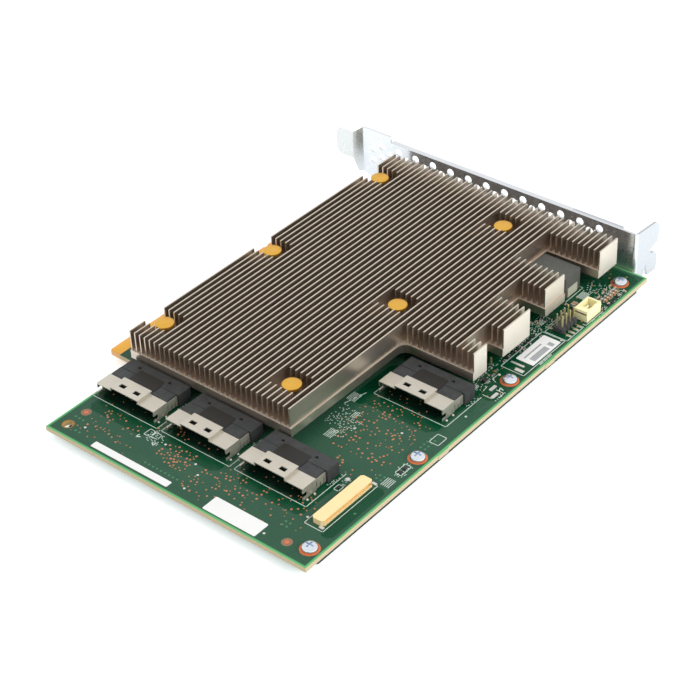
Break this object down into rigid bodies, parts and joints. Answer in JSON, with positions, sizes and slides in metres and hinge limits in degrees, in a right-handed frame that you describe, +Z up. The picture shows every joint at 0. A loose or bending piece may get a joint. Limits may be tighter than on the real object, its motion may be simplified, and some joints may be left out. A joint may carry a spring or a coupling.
{
  "type": "raid controller card",
  "caption": "Half-length raid controller card with a finned heatsink, right-angle cable sockets, a contact edge and a vented end bracket.",
  "frame": {"origin": "middle of the card's footprint, at the lowest level of the backplate and bracket", "axes": "+X from the board's free end to the bracket, +Y from the plain long edge to the contact edge, +Z up from the component side"},
  "size_m": [0.1802, 0.1258, 0.0207],
  "materials": {
    "board_green": "green solder mask, gloss",
    "gold_contact": "gold plated",
    "heatsink_metal": "satin, pale fin tops",
    "stud_brass": "turned, satin",
    "spring_steel": "spring wire",
    "chip_substrate": "laminate",
    "chip_lid": "nickel plated",
    "thermal_pad": "soft grey pad",
    "chip_black": "moulded",
    "backplate_black": "matt black paint",
    "zinc_steel": "zinc plated",
    "bracket_plated": "bright plated sheet",
    "socket_black": "moulded",
    "shell_tin": "tin plated, satin",
    "socket_tan": "moulded",
    "socket_cream": "moulded",
    "solder_tin": "tinned",
    "inductor_grey": "pressed powder",
    "capacitor_tan": "ceramic"
  },
  "bodies": {
    "root": {"circuit_board": "board_green", "edge_contacts": "gold_contact", "heatsink_base": "heatsink_metal", "heatsink_fins": "heatsink_metal", "heatsink_studs": "stud_brass", "stud_springs": "spring_steel", "controller_chip": "chip_substrate", "controller_lid": "chip_lid", "controller_pad": "thermal_pad", "memory_chips": "chip_black", "memory_pads": "thermal_pad", "backplate": "backplate_black", "backplate_nuts": "zinc_steel", "edge_screws": "zinc_steel", "bracket": "bracket_plated", "bracket_rivet": "zinc_steel", "port_1_housing": "socket_black", "port_2_housing": "socket_black", "port_3_housing": "socket_black", "port_4_housing": "socket_black", "port_1_shell": "shell_tin", "port_2_shell": "shell_tin", "port_3_shell": "shell_tin", "port_4_shell": "shell_tin", "debug_socket": "socket_tan", "debug_contacts": "gold_contact", "pin_header": "socket_black", "header_pins": "gold_contact", "battery_socket": "socket_cream", "battery_pins": "solder_tin", "inductor": "inductor_grey", "inductor_terminals": "solder_tin", "chip_capacitors": "capacitor_tan", "chip_resistors": "chip_black", "spare_pads": "solder_tin"}
  },
  "joints": []
}
